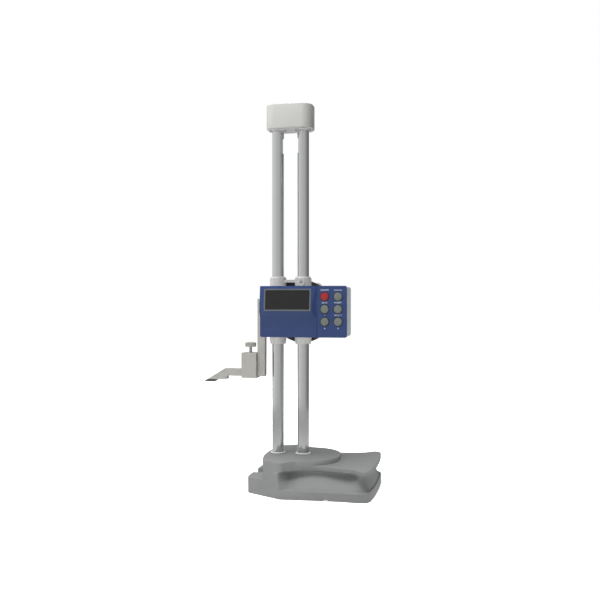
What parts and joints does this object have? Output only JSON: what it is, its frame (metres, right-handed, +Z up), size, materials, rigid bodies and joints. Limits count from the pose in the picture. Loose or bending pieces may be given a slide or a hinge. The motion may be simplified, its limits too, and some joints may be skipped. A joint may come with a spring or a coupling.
{
  "type": "height gauge",
  "caption": "Twin-column digital height gauge: cast base, slider with display unit, handwheel feed on a rack, clamped scriber.",
  "frame": {"origin": "on the base's underside, midway between the two columns", "axes": "+Z up along the columns, +X to the base's tail, -X to the scriber's tip, -Y to the display's front"},
  "size_m": [0.2161, 0.1575, 0.4662],
  "materials": {
    "iron": "fine cast texture under grey paint",
    "column_steel": "ground and polished",
    "bright_steel": "turned and polished",
    "screw_steel": "plain",
    "cap_paint": "satin",
    "slider_paint": "satin",
    "bar_steel": "satin ground",
    "carbide": "ground",
    "brass": "plain",
    "grey_plastic": "satin",
    "blue_plastic": "satin, fine grain",
    "black_plastic": "satin",
    "bezel_plastic": "satin",
    "window": "dark tinted",
    "panel_glass": "display panel",
    "circuit": "satin",
    "rubber": "matte",
    "key_grey": "satin",
    "key_red": "satin",
    "knob_grey": "satin",
    "housing_paint": "satin"
  },
  "bodies": {
    "stand": {"base_casting": "iron", "left_column": "column_steel", "right_column": "column_steel", "base_collars": "bright_steel", "column_screws": "screw_steel", "top_cap": "cap_paint", "cap_collars": "bright_steel", "cap_screws": "screw_steel"},
    "slider": {"slider_casting": "slider_paint", "guide_bushings": "brass", "wiper_rings": "bright_steel", "clamp_adjusting_screw": "screw_steel", "lock_shoe": "brass", "shaft_bushes": "brass", "feed_housing": "housing_paint", "housing_screws": "screw_steel", "measuring_arm": "bar_steel", "arm_screws": "screw_steel", "clamp_box": "bar_steel", "case_back": "grey_plastic", "case_screws": "screw_steel", "display_screws": "screw_steel", "front_cover": "blue_plastic", "display_bezel": "bezel_plastic", "display_window": "window", "display_panel": "panel_glass", "circuit_board": "circuit", "encoder_reader": "black_plastic", "keypad_mat": "rubber", "battery": "bright_steel", "battery_contact": "brass"},
    "feed": {"feed_shaft": "bright_steel", "feed_pinion": "bar_steel", "handwheel": "black_plastic", "wheel_screw": "screw_steel", "crank_pin": "screw_steel"},
    "crank": {"crank_knob": "knob_grey"},
    "encoder": {"encoder_shaft": "bright_steel", "encoder_pinion": "brass", "encoder_disc": "bright_steel"},
    "power_button": {"power_button": "key_red"},
    "unit_button": {"unit_button": "key_grey"},
    "zero_button": {"zero_button": "key_grey"},
    "preset_button": {"preset_button": "key_grey"},
    "up_button": {"up_button": "key_grey"},
    "down_button": {"down_button": "key_grey"},
    "lock": {"lock_knob": "black_plastic"},
    "clamp_screw": {"thumb_screw": "bar_steel"},
    "scriber_set": {"scriber": "bar_steel", "carbide_tip": "carbide"},
    "battery_lid": {"battery_cover": "black_plastic"}
  },
  "joints": [
    {"name": "slider_travel", "type": "slide", "parent": "stand", "child": "slider", "axis": [0, 0, 1], "range_m": [-0.1276, 0.177]},
    {"name": "handwheel_spin", "type": "hinge", "parent": "slider", "child": "feed", "pos_m": [0.0038, 0.0565, 0.2143], "axis": [0, 1, 0], "range_deg": [-1395, 1935]},
    {"name": "encoder_spin", "type": "hinge", "parent": "slider", "child": "encoder", "pos_m": [-0.00275, 0, 0.22845], "axis": [0, 1, 0], "range_deg": [-1612, 1163]},
    {"name": "crank_knob_spin", "type": "hinge", "parent": "feed", "child": "crank", "pos_m": [0.01787, 0.0643, 0.24591], "axis": [0, 1, 0], "continuous": true},
    {"name": "power_button_press", "type": "slide", "parent": "slider", "child": "power_button", "axis": [0, 1, 0], "range_m": [0, 0.0012], "stiffness_N_per_m": 400},
    {"name": "unit_button_press", "type": "slide", "parent": "slider", "child": "unit_button", "axis": [0, 1, 0], "range_m": [0, 0.0012], "stiffness_N_per_m": 400},
    {"name": "zero_button_press", "type": "slide", "parent": "slider", "child": "zero_button", "axis": [0, 1, 0], "range_m": [0, 0.0012], "stiffness_N_per_m": 400},
    {"name": "preset_button_press", "type": "slide", "parent": "slider", "child": "preset_button", "axis": [0, 1, 0], "range_m": [0, 0.0012], "stiffness_N_per_m": 400},
    {"name": "up_button_press", "type": "slide", "parent": "slider", "child": "up_button", "axis": [0, 1, 0], "range_m": [0, 0.0012], "stiffness_N_per_m": 400},
    {"name": "down_button_press", "type": "slide", "parent": "slider", "child": "down_button", "axis": [0, 1, 0], "range_m": [0, 0.0012], "stiffness_N_per_m": 400},
    {"name": "lock_turn", "type": "hinge", "parent": "slider", "child": "lock", "pos_m": [0.036, 0.003, 0.2054], "axis": [1, 0, 0], "range_deg": [0, 120]},
    {"name": "thumb_screw_turn", "type": "hinge", "parent": "slider", "child": "clamp_screw", "pos_m": [-0.0506, 0, 0.174], "axis": [0, 0, 1], "range_deg": [0, 540]},
    {"name": "scriber_slide", "type": "slide", "parent": "slider", "child": "scriber_set", "axis": [1, 0, 0], "range_m": [-0.018, 0]},
    {"name": "battery_lid_turn", "type": "hinge", "parent": "slider", "child": "battery_lid", "pos_m": [0.05992, -0.0058, 0.2041], "axis": [0, 1, 0], "range_deg": [0, 60]}
  ],
  "couplings": [
    {"joint": "handwheel_spin", "follows": "slider_travel", "rad_per_m": 190.48},
    {"joint": "encoder_spin", "follows": "slider_travel", "rad_per_m": -158.73}
  ]
}
